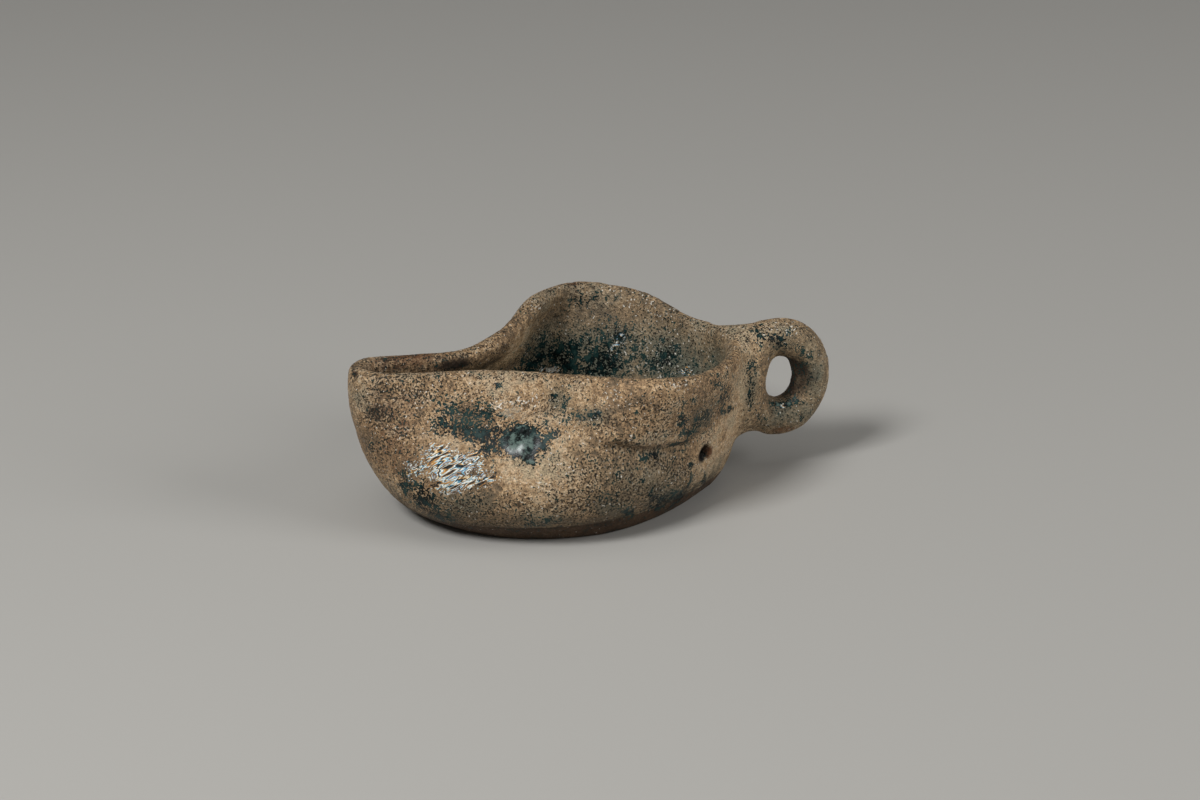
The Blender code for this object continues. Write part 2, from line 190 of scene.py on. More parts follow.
# A patch is its place on the surface in millimetres, half its width along the wall and half its height up
# the wall, its tilt in degrees, and an amount: for glaze and bloom, the share of the clay that they cover.
patches = {
    "glaze": {
        "dark band, top": ((-35.9, -13.4, 28.6), 6.2, 2.5, -5, 0.93),
        "dark band": ((-35.8, -17.5, 25.4), 6.6, 2.2, -6, 1.0),
        "dark band, head": ((-43.0, -13.9, 26.3), 2.9, 2.1, -1, 0.7),
        "tongue below the band": ((-33.4, -21.8, 22.9), 3.5, 1.6, 13, 0.9),
        "run of glaze": ((-26.7, -23.6, 24.8), 5.8, 4.2, 0, 1.3),
        "tip of the run": ((-26.1, -27.2, 21.7), 1.8, 0.7, -43, 1.1),
        "tail of the run": ((-20.2, -26.1, 26.8), 2.4, 1.2, 45, 0.95),
        "spot by the rim": ((-29.2, -10.7, 33.3), 0.8, 0.7, 1, 1.3),
        "spot by the dent": ((-25.1, -14.1, 32.6), 0.8, 0.6, 6, 0.95),
        "streak right of the dent": ((-18.8, -20.3, 33.1), 1.2, 2.6, 17, 0.52),
        "second streak right of the dent": ((-16.8, -22.9, 32.9), 1.4, 3.0, 18, 0.5),
        "speckles right of the dent": ((-14.9, -26.9, 30.9), 3.1, 1.8, 9, 0.66),
        "grey patch right of the dent": ((-12.1, -29.0, 31.6), 1.8, 1.4, 3, 0.7),
        "speckles at mid belly": ((-17.2, -31.3, 22.4), 1.1, 1.8, 1, 0.5),
        "low front": ((-48.5, -16.4, 10.8), 4.8, 4.2, 24, 0.85),
        "low front contour": ((-51.8, -13.9, 14.6), 1.6, 3.6, -15, 0.85),
        "under the front": ((-44.2, -17.4, 6.1), 4.0, 2.9, 13, 0.75),
        "front contour": ((-57.2, -6.8, 20.3), 1.3, 2.7, -32, 0.6),
        "under the belly": ((-25.7, -28.6, 7.2), 3.5, 2.2, -3, 0.7),
        "under the belly, right": ((-22.2, -30.2, 8.4), 1.8, 1.5, -20, 0.7),
        "left arm over the crease": ((8.3, -28.1, 26.7), 1.6, 4.6, 27, 0.86),
        "streak over the crease": ((12.4, -25.6, 26.5), 1.2, 3.8, 32, 0.8),
        "second streak over the crease": ((15.5, -23.0, 25.4), 1.3, 3.6, 38, 0.8),
        "foot of the streaks": ((10.6, -25.4, 23.2), 2.3, 0.7, -22, 0.85),
        "by the handle": ((21.1, -18.9, 28.4), 7.8, 4.0, -35, 0.6),
        "beside the handle": ((17.8, -24.5, 34.0), 2.7, 1.5, -26, 0.62),
        "bar by the handle": ((23.1, -15.7, 22.9), 5.7, 0.7, -16, 1.05),
        "along the crease": ((9.0, -26.6, 20.4), 4.6, 1.0, -14, 1.15),
        "below the crease, left": ((-1.1, -31.3, 20.8), 1.1, 1.4, 13, 1.0),
        "below the crease": ((2.3, -30.0, 20.0), 1.7, 1.4, -44, 1.05),
        "below the crease, right": ((9.1, -26.5, 18.3), 2.2, 1.3, -30, 0.62),
        "scratch below the crease": ((6.9, -27.7, 16.3), 0.8, 1.3, -40, 0.75),
        "below the pit": ((12.3, -24.0, 14.2), 1.7, 0.7, -30, 1.0),
        "run to the foot": ((12.1, -23.0, 10.3), 0.9, 3.6, 16, 0.8),
        "foot patch, right": ((9.3, -22.8, 6.8), 5.1, 1.7, -37, 0.85),
        "short run, far right": ((17.4, -17.1, 6.7), 1.4, 2.6, 35, 0.75),
        "foot patch": ((3.2, -27.5, 9.0), 4.3, 1.9, -42, 0.66),
        "drop": ((-1.7, -31.7, 15.5), 0.6, 1.1, 16, 1.0),
        "foot patch, middle": ((-4.2, -28.9, 7.0), 1.5, 4.0, 36, 0.95),
        "haze on the low belly": ((-9.4, -33.1, 12.8), 1.8, 2.7, 23, 0.66),
        "haze on the belly": ((-8.5, -33.3, 18.4), 1.2, 1.4, 16, 0.66),
        "low speck": ((-12.3, -33.3, 13.5), 0.7, 0.9, 23, 0.85),
        "short mark": ((-3.4, -32.3, 18.9), 1.6, 0.9, -18, 0.58),
        "drop by the foot": ((0.9, -29.5, 10.9), 0.8, 2.0, 29, 0.72),
        "line along the foot": ((5.3, -22.7, 4.1), 6.9, 1.6, -23, 0.66),
        "mark on the rim": ((-7.0, -28.9, 38.6), 0.9, 0.5, 6, 0.62),
        "mark on the rim, right": ((3.0, -32.5, 37.8), 1.2, 0.5, -9, 0.6),
        "speckles under the rim": ((9.6, -30.1, 32.7), 3.2, 1.0, -21, 0.55),
        # handle
        "left of the limb": ((31.8, -8.9, 25.6), 1.9, 5.8, 0, 0.44),
        "top of the ring's hole": ((39.1, -4.4, 33.5), 3.6, 1.9, -4, 0.9),
        "top of the ring, right": ((44.5, -4.1, 30.8), 2.5, 1.2, -26, 0.6),
        "ring, upper right": ((47.0, -4.1, 28.0), 1.4, 1.8, 11, 0.75),
        "spot on the ring": ((47.4, -3.2, 33.3), 0.9, 0.7, 1, 0.7),
        "streak on the limb": ((32.5, -7.9, 30.0), 1.9, 1.8, 28, 0.6),
        "run down the limb": ((32.2, -8.4, 28.6), 1.3, 2.4, 0, 0.2),
        "foot of the run": ((31.6, -9.0, 20.4), 1.1, 3.1, 1, 0.15),
        "spot below the limb": ((34.8, -6.0, 15.6), 1.3, 2.2, 42, 0.7),
        "floor of the ring's hole": ((40.8, -2.5, 16.4), 3.3, 0.9, -16, 0.75),
        # this row and the soot row of the same name darken the ring's inner wall as painted shade
        "wall of the ring's hole": ((45.2, -0.8, 23.6), 3.5, 4.5, 0, 0.5),
        "low on the ring": ((45.9, -4.1, 13.4), 0.8, 1.3, 8, 0.8),
        "inside the ring": ((44.6, -3.0, 17.5), 1.9, 0.9, 3, 0.66),
        "top of the limb": ((35.2, -1.5, 36.3), 1.4, 1.9, -42, 0.55),
        # inside
        "bowl wall, all along": ((3.0, 26.5, 22.0), 21.0, 6.5, 4, 0.56),
        "bowl wall, left": ((-4.1, 27.3, 22.8), 6.4, 4.2, -4, 0.56),
        "bowl wall, foot": ((3.8, 23.8, 21.0), 7.3, 2.7, 5, 0.72),
        "bowl wall, middle": ((10.2, 21.4, 26.7), 5.9, 3.1, 8, 0.46),
        "bowl wall, right": ((17.9, 14.6, 24.9), 5.1, 4.5, 17, 0.18),
        "bowl wall, right foot": ((18.0, 13.5, 21.9), 4.6, 2.1, 10, 0.25),
        "bowl wall, high": ((2.8, 28.5, 35.6), 6.6, 2.0, -1, 0.42),
        "bowl wall, head": ((-11.2, 27.6, 20.1), 2.7, 1.1, -14, 0.85),
        "bowl wall, spots": ((7.3, 25.0, 31.6), 1.9, 0.9, 4, 0.55),
        "near bowl wall": ((-6.0, -24.0, 25.0), 9.0, 5.0, 6, 0.7),
        # far side, plainer
        "far shoulder": ((-8, 32, 22), 9.0, 4.0, 8, 0.85),
        "far shoulder, tail": ((-20, 30, 16), 4.0, 6.0, -20, 0.75),
        "far run": ((-33, 22, 22), 4.0, 5.0, -12, 0.9),
        "far streak": ((12, 26, 15), 1.6, 7.0, 14, 0.85),
        "far, by the handle": ((24, 17, 26), 3.0, 5.0, 0, 0.8),
        "far, low front": ((-48, 16, 11), 6.0, 3.0, 18, 0.8),
        "behind the ring": ((52.5, 0, 27), 3.0, 4.0, 0, 0.62),
        "far limb": ((33, 8.0, 25), 1.2, 5.0, 6, 0.85),
        "far foot": ((2, 27, 8), 7.0, 2.2, 4, 0.7),
    },
    # glaze that ran thick and stayed whole
    "melted": {
        "run of glaze": ((-27.2, -23.6, 24.7), 4.1, 3.4, -1, 1.0),
        "tip of the run": ((-26.1, -27.2, 21.7), 1.6, 0.7, -43, 0.9),
        "sheen in the dent": ((-27.9, -16.4, 29.3), 4.2, 2.0, -6, 0.85),
        "floor of the ring's hole": ((40.8, -2.5, 16.4), 3.1, 0.8, -16, 0.7),
        "far run": ((-31.5, 24, 17), 2.4, 2.8, -12, 0.9),
    },
    "bloom": {
        "upper left flakes": ((-44.2, -18.1, 20.6), 2.6, 2.4, -2, 1.3),
        "bright streaks": ((-42.6, -20.7, 17.7), 3.4, 2.0, 34, 1.35),
        "grey blue flakes": ((-38.7, -21.1, 20.5), 2.7, 1.6, 4, 0.8),
        "fading right": ((-37.0, -24.0, 17.4), 3.6, 1.5, 12, 0.58),
        "dull flakes at the front": ((-50.0, -15.8, 17.6), 2.2, 1.8, 22, 0.5),
        "lower edge": ((-40.9, -22.7, 15.6), 3.7, 0.9, 20, 0.66),
        "bowl wall": ((9.1, 22.0, 26.1), 2.0, 3.2, -11, 0.15),
        "bowl wall, right": ((22.1, 9.6, 22.4), 1.3, 0.9, 13, 0.45),
        # these two rows paint highlights with the bloom's flakes
        "glint in the bowl": ((-6.0, 27.0, 19.2), 1.8, 0.5, -2, 1.6),
        "glint in the ring": ((42.0, -2.6, 16.2), 0.6, 0.35, 1, 0.9),
        "far shoulder": ((-14, 31.5, 20), 3.0, 1.6, 10, 0.62),
    },
    "soot": {
        "smudge on the spout": ((-54.3, -7.2, 34.2), 2.6, 2.0, -2, 0.25),
        "smudge below": ((-56.6, -7.9, 28.0), 2.2, 2.4, -37, 0.12),
        "smudge beside": ((-54.1, -9.6, 28.1), 2.6, 2.0, 6, 0.12),
        "spout's side": ((-55.1, -7.8, 31.3), 4.0, 5.3, 2, 0.42),
        "spout's far side": ((-54, 8.4, 31.0), 4.5, 4.8, 2, 0.6),
        "burnt spot at the tip": ((-59.4, -1.9, 36.3), 1.1, 0.7, 2, 1.1),
        # the channel's throat: soot, and painted shadow deep in the channel
        "throat": ((-35, 3.9, 33.2), 4.5, 1.6, 0, 1.0),
        # darker brown high on the bowl wall
        "bowl wall, high": ((5, 27, 32), 15.0, 5.0, 0, 0.5),
        # painted shade on the ring's inner wall, which faces into the limb's shadow
        "wall of the ring's hole": ((45.2, -0.8, 23.6), 3.8, 5.8, 0, 1.3),
    },
    # dark grains in the clay, beyond the few that are everywhere
    "grains": {
        "spout side": ((-49.6, -7.7, 34.2), 6.7, 2.4, -5, 0.8),
        "smudge on the spout": ((-54.3, -7.2, 34.2), 1.8, 1.3, -2, 1.2),
        "smudge below": ((-56.6, -7.9, 28.0), 1.7, 1.9, -37, 1.4),
        "smudge beside": ((-54.1, -9.6, 28.1), 2.1, 1.6, 6, 1.2),
        "spout's low side": ((-48.6, -13.0, 25.7), 4.9, 3.1, 1, 0.6),
        "left of the band": ((-44.4, -10.2, 30.3), 4.0, 4.2, -29, 0.7),
        "front": ((-54.8, -10.4, 23.3), 3.6, 4.9, -15, 0.6),
        "belly right": ((-7.3, -32.7, 22.9), 8.1, 6.0, -17, 0.65),
        "lower belly": ((-12.0, -33.2, 12.9), 9.4, 4.3, -11, 0.7),
        "under the rim, right": ((1.7, -33.0, 33.8), 6.6, 3.3, -15, 0.6),
        "low left": ((-39.2, -24.2, 11.4), 8.0, 3.0, 9, 0.6),
        "right flank": ((7.0, -28.5, 13.5), 11.0, 6.0, -22, 0.85),
        "over the crease": ((9.0, -28.0, 26.5), 11.0, 4.5, -14, 0.55),
        "far belly": ((-12, 33, 16), 14.0, 7.0, 6, 0.6),
        "far front": ((-50, 14, 22), 6.0, 6.0, 0, 0.6),
    },
    # smooth clay, nearly free of dark grains
    "clean": {
        "under the band": ((-40.4, -17.8, 23.3), 5.4, 1.4, -9, 1.0),
        "belly": ((-30.0, -27.0, 18.9), 4.9, 2.9, 4, 1.0),
        "above the dent": ((-24.5, -14.0, 33.2), 5.7, 1.3, 8, 0.8),
        "between the dents": ((-22.7, -16.0, 32.8), 2.0, 1.3, 8, 1.0),
        "right of the run": ((-17.3, -28.7, 26.3), 4.6, 1.8, 8, 0.6),
        "under the rim": ((-4.2, -30.7, 38.6), 5.7, 1.2, 5, 0.5),
        "belly of the rim": ((-8.5, -29.8, 35.2), 3.4, 1.7, 8, 0.6),
        "wiped joint": ((24.0, -14.6, 15.6), 5.6, 5.0, -6, 1.0),
        "around the pit": ((18.2, -18.8, 11.7), 6.5, 3.3, -44, 0.8),
        "left of the limb": ((29.1, -9.0, 22.4), 1.3, 5.2, 6, 0.9),
        "low right": ((2.7, -29.9, 15.3), 3.1, 1.8, -33, 0.6),
        "bowl wall, far left": ((-17, 16, 30.5), 5.0, 5.0, 0, 0.8),
        "bowl wall, high": ((4.0, 29.0, 33.5), 13.0, 3.5, 0, 0.55),
        "ring": ((43, -4.3, 25), 10.0, 11.0, 0, 0.35),
        "ring's edge": ((51.5, -1, 25), 5.0, 9.0, 0, 0.35),
        "far wiped joint": ((24, 15, 17), 5.5, 5.5, 6, 1.0),
        "far shoulder": ((-26, 24, 30), 6.0, 2.4, -6, 0.8),
    },
    # painted light on the clay where the amount is above zero, and painted shade where it is below, as a
    # share of its tone
    "pale": {
        "handle joint": ((31.7, -5.8, 33.9), 5.0, 4.0, 0, 0.35),
        "limb": ((32.4, -9.0, 25.2), 3.0, 7.5, 0, 0.6),
        "bowl wall, far left": ((-18.5, 18.5, 27.5), 5.5, 6.0, 0, 0.98),
        "under the rim": ((-4.0, -29.5, 37.6), 12.0, 2.4, 4, 0.2),
        "ring, right": ((50.1, -4.1, 24.6), 3.0, 9.0, 0, -0.22),
        "ring low": ((43.1, -3.8, 13.5), 6.2, 2.6, -3, -0.22),
        "foot, right": ((9.5, -21.0, 4.0), 9.0, 3.0, -20, -0.35),
        "spout side": ((-54.5, -8.5, 30.0), 4.5, 5.0, 0, -0.16),
        "far rim": ((0, 29, 37.8), 9.0, 4.0, 0, -0.24),
        "low belly": ((-11, -33, 15), 6.0, 4.0, 0, -0.14),
    },
    # a breath of glaze that tints the clay; on the low, under and shaded sides it is also painted shade
    "haze": {
        "low front": ((-40.6, -23.3, 11.2), 7.0, 2.7, 9, 0.7),
        "under the belly": ((-24.2, -29.9, 8.5), 5.3, 2.5, -4, 0.9),
        "low right": ((-8.6, -31.7, 9.6), 5.8, 2.7, -30, 0.75),
        "belly right": ((0.2, -30.9, 15.1), 13.4, 6.1, -25, 0.55),
        "front contour": ((-59.5, -3.5, 31.8), 2.4, 3.9, -11, 0.5),
        "ring": ((41.8, -4.3, 32.1), 7.9, 5.8, -28, 0.55),
        "ring right": ((48.9, -4.2, 23.8), 3.4, 7.1, 4, 0.8),
        "right of the dent": ((-17.8, -21.5, 33.0), 2.4, 3.0, 17, 0.75),
        "far right of the dent": ((-12.6, -28.6, 31.4), 3.8, 1.8, 6, 0.75),
        "over the crease": ((15.0, -23.5, 27.0), 4.0, 4.0, -30, 0.45),
        "foot, right": ((8.0, -24.0, 7.0), 9.0, 3.4, -35, 0.75),
        "limb, left edge": ((32.0, -8.8, 24.5), 2.0, 7.5, 0, 0.45),
        "limb": ((32.4, -9.0, 25.2), 3.4, 8.1, -1, 0.5),
        "ring low": ((43.1, -3.8, 14.5), 6.2, 3.3, -3, 0.85),
        "under the handle": ((36.5, -5.2, 13.1), 6.6, 2.5, -24, 0.3),
        "far ring": ((43, 4.2, 24), 9.0, 10.0, 0, 0.5),
        "far belly": ((-10, 32, 11), 20.0, 4.0, 0, 0.7),
    },
    # pale grains, with painted glints and highlights in white where they are strong
    "glints": {
        "left of the dent": ((-29.8, -14.0, 30.2), 2.0, 1.1, -6, 1.5),
        "right of the dent": ((-23.8, -16.3, 31.4), 2.9, 0.9, 14, 1.2),
        "belly of the rim": ((-8.2, -29.6, 36.0), 2.5, 1.3, 7, 0.55),
        "grey patch": ((-12.1, -28.9, 31.7), 1.2, 1.3, 10, 0.8),
        "belly": ((-24.9, -30.2, 17.0), 1.1, 1.1, -37, 0.7),
        "rim, right": ((6.8, -31.6, 37.2), 3.1, 0.7, -16, 0.8),
        "top of the ring": ((42.7, -2.9, 35.7), 2.7, 1.5, -5, 0.7),
        "top of the ring, left": ((35.8, -4.4, 35.1), 0.9, 0.7, 40, 1.0),
        "in the bowl": ((-5.6, 27.0, 19.3), 1.3, 0.45, -2, 2.0),
        "bowl wall, right": ((17.5, 14.5, 24.0), 6.0, 4.5, 15, 0.5),
        "far rim, right": ((15.2, 21.5, 35.9), 7.4, 1.7, -15, 0.5),
        "far rim, left": ((-12.0, 21.7, 38.4), 9.0, 2.5, -30, 0.5),
    },
    # clay gone red-brown
    "rust": {
        "in the pit": ((17.9, -20.2, 14.8), 1.1, 1.6, 0, 1.0),
        "burnt spot at the tip": ((-59.4, -1.9, 36.3), 1.0, 0.7, 2, 0.8),
        "far rim": ((0.8, 30.4, 39.3), 2.2, 1.2, 0, 0.6),
        "under the ring": ((42, -3, 11.2), 6.0, 1.6, 0, 0.5),
        "spout side": ((-52, -9.5, 29.5), 9.0, 9.0, 0, 0.42),
        "front": ((-52, -13, 18), 6.0, 7.0, 0, 0.36),
        "under the lip": ((2, -30, 23.0), 9.0, 1.6, -14, 0.5),
        "channel": ((-44, 4, 36), 9.0, 2.0, 0, 0.5),
        "top of the spout": ((-48, 5, 36), 9.0, 5.0, 0, 0.3),
    },
}
# pressed in where the amount is above zero, in millimetres, standing out where it is below
hollows = {
    "thumb dent": ((-28.6, -14.8, 29.6), 3.4, 1.5, -4, 0.55),
    "nail dent": ((-22.2, -18.2, 31), 1.4, 1.9, -38, 0.40),
    "swelling of the run": ((-27.2, -24.4, 24.6), 2.5, 3.0, 0, -0.5),
    "lip over the crease": ((5, -29.5, 26.5), 9.0, 3.6, -14, -0.50),
    "lip by the handle": ((16, -24, 28), 6.0, 4.0, 0, -0.25),
    "hollow below the crease": ((6, -28, 17.6), 7.0, 3.2, -16, 0.55),
    "low ridge": ((-14, -31.5, 8.2), 13.0, 1.6, 0, -0.30),
    "hollow over the ridge": ((-16, -33, 11.6), 12.0, 1.8, 0, 0.22),
    "flat by the foot": ((-2, -28, 6.4), 6.0, 1.8, 0, 0.20),
    "bruise on the belly": ((-6, -33, 21.5), 4.0, 2.2, 20, 0.20),
    "front flat": ((-51, -14, 20), 5.0, 5.0, 0, 0.25),
    "far thumb mark": ((-17, 26, 27), 4.0, 3.0, 10, 0.40),
    "far belly mark": ((6, 33, 16), 6.0, 4.0, 0, 0.25),
    "rim nick": ((1, 30.2, 39.2), 0.9, 1.4, 0, 0.30),
    "rim bump": ((7.2, 29.6, 38.8), 1.2, 1.6, 0, -0.22),
    "far rim, left": ((-10.5, 23.5, 38.7), 6.5, 6.5, 0, -0.75),
    "far rim, beside the handle": ((28.4, 3.4, 34.4), 4.0, 2.8, 0, -0.9),
    "far rim nick": ((13, 25, 37.8), 1.2, 1.2, 0, 0.26),
    "tip nick": ((-59.6, -1.8, 36.4), 0.8, 0.8, 0, 0.55),
    "flare of the ring's hole": ((46.2, -3.0, 23.5), 1.7, 5.0, 0, 0.8),
    "flare above the ring's hole": ((39.0, -2.8, 29.6), 2.2, 2.2, 0, 1.0),
}
# a pit that a lost pebble left, in millimetres
pit = {
    "at": (17.1, -21.0, 15.0),
    "out": (0.52, -0.83, -0.2),     # the way out of the wall
    "wide": 1.75,
    "tall": 2.15,
    "deep": 3.2,
    "wall behind": 4,           # no wall further in or out is touched
    "turned away": -0.2,        # nor one turned away from it by this cosine
    # and as shares of its half width and half height
    "reaches": 2.6,
    "wall around": 1.5,         # from here out the wall gives the level of its rim
    "drawn in": (1.9, 1.2),     # not at all, and fully
    "side": (1.05, 0.35),       # top and foot
    # painted shade in the pit, from none to full, and how far it lies aside as the pit's shadow
    "dark": (1.3, 0.9),
    "painted shadow aside": 0.28,
}
# scored lines: points, width, depth, and how far the wall above stands over the wall below, in millimetres
scoreLines = {
    "crease under the lip": (
        ((-8, -32.4, 25.6), (-2.5, -32, 23.4), (3, -29.6, 21.6), (7, -27.6, 20.9), (11.5, -25, 20.4),
         (15.2, -22.4, 21)),
        1.2, 0.8, 0.8,
    ),
    "drag mark": (((-24.2, -31, 10.6), (-21.5, -31.6, 12.4), (-18.6, -32.4, 14.4)), 0.4, 0.35, 0),
    "short crack": (((-15, -31.6, 22.6), (-12.6, -32, 23.6)), 0.35, 0.30, 0),
    "fold by the dent": (((-24.8, -19, 29.2), (-22.6, -19.8, 29.6), (-20.6, -20.4, 30.8)), 0.5, 0.35, 0),
    "trimming edge": (
        ((-34, -23, 4.9), (-24, -26.5, 4.5), (-12, -27.8, 4.7), (0, -26.4, 4.9), (10, -21.5, 4.7)),
        0.7, 0.22, 0,
    ),
}
# how marks and patches lie on the wall
marks = {
    "off the wall": 2.5,        # millimetres, so that no other wall is touched
    "off by size": 0.6,         # and this much of a mark's half width or height more
    "turned away": -0.1,        # cosine of the wall's turn from a mark at which it ends
    "turned to it": 0.4,        # and at which it is whole
    "patch size": 1.15,         # patches run a little beyond their half width and height
    "patch edge": 1.2,          # steeper than a mark's
    "patch most": 0.98,
    "step edge": 0.6,           # millimetres in which the wall steps at a scored line
    "step reach": 4,            # millimetres to both sides in which the step runs out
    # how dark the scored lines are painted, as painted shade
    "line painted shade": 0.35,
}
# zones of the lamp, in millimetres along, across or up: where each begins, and where it is full
zones = {
    "joint, along": (6.0, 2.5),         # from the handle's limb
    "joint, across": (15, 9),
    "joint, up": (6, 9),
    "handle past the joint": (36.0, 38.5),
    "ring": (35, 38.5),
    "pooled glaze, up": (22, 14),
    "pooled glaze, along": (-34, -20),
    "whole glaze, up": (13, 8),
    "bowl's haze, up": (35, 25),
    "bowl's haze, along": (-20, -6),
    "low wall": (17, 4),
    "spout": (-26, -44),
    "spout's end": (-44, -60),
    "flat top of the spout": (31, 34),
    "flat top's far half": (-4, 0),
    "trimmed foot": (5.4, 4.2),
}
# how much of each thing lies in them
laidIn = {
    "pooled glaze": 0.92,
    "whole glaze": 0.8,
    "haze under the rim": 0.35,
    "haze deeper down": 0.65,    # more than under the rim
    "grey painted shade on the low wall": 0.35,
    "soot in the spout": 0.45,
    "soot at the spout's end": 0.25,
    "soot on the flat top": 0.15,
    "more on its far half": 0.25,
    "brown painted shade on the low wall": 0.5,
}
# the inner face: cosines of the wall's turn, and places in millimetres
bowl = {
    "middle line": (-48, 16),           # along the lamp, from which a wall faces in or out
    "facing out or in": (0.15, -0.35),
    "floor faces up": 0.45,
    "floor below": 20,
    "floor above": 4,
    "handle begins": 32,
    "rim faces up": (0.35, 0.8),
    "rim above": 30,
    "flat faces up": (0.5, 0.9),
    # waves of the pooled glaze's edge: share, part along, part across, length for one radian, shift
    "waves": ((1.0, 0.0, 1.0, 2.7, 0.8), (1.0, 1.0, 0.6, 4.1, 0.0), (0.6, 1.0, -1.0, 1.7, 0.0)),
    "wave height": 1.2,
    "waves along": 2,                   # times as high towards the spout
}


def neighbourMean(values, ends, counts):
    # the mean of each point's neighbours
    columns = []
    for k in range(values.shape[1]):
        column = values[:, k]
        total = np.bincount(ends[:, 0], column[ends[:, 1]], len(values))
        total += np.bincount(ends[:, 1], column[ends[:, 0]], len(values))
        columns.append(total / counts)
    return np.stack(columns, axis=1)


def evened(points, ends, counts, s):
    # facets taken out without drawing the form in
    for k in range(2 * s["evening passes"]):
        step = s["push"] if k % 2 == 0 else s["push back"]
        points = points + (neighbourMean(points, ends, counts) - points) * step
    return points


def waysOn(out):
    # along and up the wall that this is the way out of
    along = np.cross((0, 0, 1), out)
    along /= np.linalg.norm(along)
    return along, np.cross(out, along)


def spotOn(points, normals, at, wide, tall, tilt, edge=1.0):
    # 1 at a place on the surface, fading along and up the wall, and kept to that face of it
    at = np.array(at) * mm
    nearest = np.argmin(((points - at) ** 2).sum(1))
    out = normals[nearest]
    along, up = waysOn(out)
    turn = math.radians(tilt)
    away = points - at
    u, w = away @ along, away @ up
    u, w = u * math.cos(turn) + w * math.sin(turn), w * math.cos(turn) - u * math.sin(turn)
    fade = np.exp(-((u / (wide * mm)) ** 2 + (w / (tall * mm)) ** 2) ** edge)
    reach = (marks["off the wall"] + marks["off by size"] * max(wide, tall)) * mm
    turned, faced = marks["turned away"], marks["turned to it"]
    facing = np.clip((normals @ out - turned) / (faced - turned), 0, 1)
    return fade * facing * (np.abs(away @ out) < reach)


def spread(points, normals, rows):
    # spots that run into each other
    bare = np.ones(len(points))
    wider, edge = marks["patch size"], marks["patch edge"]
    for at, wide, tall, tilt, amount in rows.values():
        spot = spotOn(points, normals, at, wider * wide, wider * tall, tilt, edge)
        bare *= 1 - np.minimum(amount * spot, marks["patch most"])
    return 1 - bare


def stepBetween(values, low, high):
    # 0 at low, 1 at high, smooth between, also when low is the larger
    t = np.clip((values - low) / (high - low), 0, 1)
    return t * t * (3 - 2 * t)


def zone(values, name):
    # 0 where the zone begins, 1 where it is full
    begins, full = zones[name]
    return stepBetween(values, begins * mm, full * mm)


def fromLine(points, line):
    # distance to a line through a few places, and height above its nearest point
    line = np.array(line) * mm
    best = np.full(len(points), 1.0)
    above = np.zeros(len(points))
    for a, b in zip(line[:-1], line[1:]):
        t = np.clip(((points - a) @ (b - a)) / ((b - a) @ (b - a)), 0, 1)
        away = points - a - t[:, None] * (b - a)
        apart = np.linalg.norm(away, axis=1)
        above = np.where(apart < best, away[:, 2], above)
        best = np.minimum(best, apart)
    return best, above


def meshArrays(mesh):
    points = np.empty(3 * len(mesh.vertices))
    mesh.vertices.foreach_get("co", points)
    normals = np.empty(3 * len(mesh.vertices))
    mesh.vertex_normals.foreach_get("vector", normals)
    ends = np.empty(2 * len(mesh.edges), int)
    mesh.edges.foreach_get("vertices", ends)
    ends = ends.reshape(-1, 2)
    counts = np.bincount(ends.ravel(), minlength=len(mesh.vertices))
    return points.reshape(-1, 3), normals.reshape(-1, 3), ends, counts


def movePoints(mesh, points):
    mesh.vertices.foreach_set("co", points.ravel())
    mesh.update()


def finerLamp(s):
    # a merged copy of the solid, remeshed finely and evened
    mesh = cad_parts["lamp"].data.copy()
    mesh.materials.clear()
    work = bmesh.new()
    work.from_mesh(mesh)
    bmesh.ops.remove_doubles(work, verts=work.verts, dist=s["merged within"])
    work.to_mesh(mesh)
    work.free()
    piece = bpy.data.objects.new("oilLamp", mesh)
    bpy.context.scene.collection.objects.link(piece)
    skin = piece.modifiers.new("finer skin", "REMESH")
    skin.mode = "VOXEL"
    skin.voxel_size = s["mesh step"]
    mesh = plainMesh(piece, "oilLamp")

    points, normals, ends, counts = meshArrays(mesh)
    points = evened(points, ends, counts, s)
    # clay wiped over the joint of the handle
    x, y, z = points.T
    joint = zone(np.abs(x - s["joint"]), "joint, along")
    joint *= zone(np.abs(y), "joint, across") * zone(z, "joint, up")
    joint *= 1 - zone(x, "handle past the joint")
    ring = zone(x, "ring")
    joint = np.maximum(joint, s["ring share"] * ring)[:, None]
    for k in range(s["joint passes"]):
        points = points + (neighbourMean(points, ends, counts) - points) * s["push"] * joint
    movePoints(mesh, points)
    points, normals, ends, counts = meshArrays(mesh)
    movePoints(mesh, points + normals * ring[:, None] * s["ring given back"])
    return piece


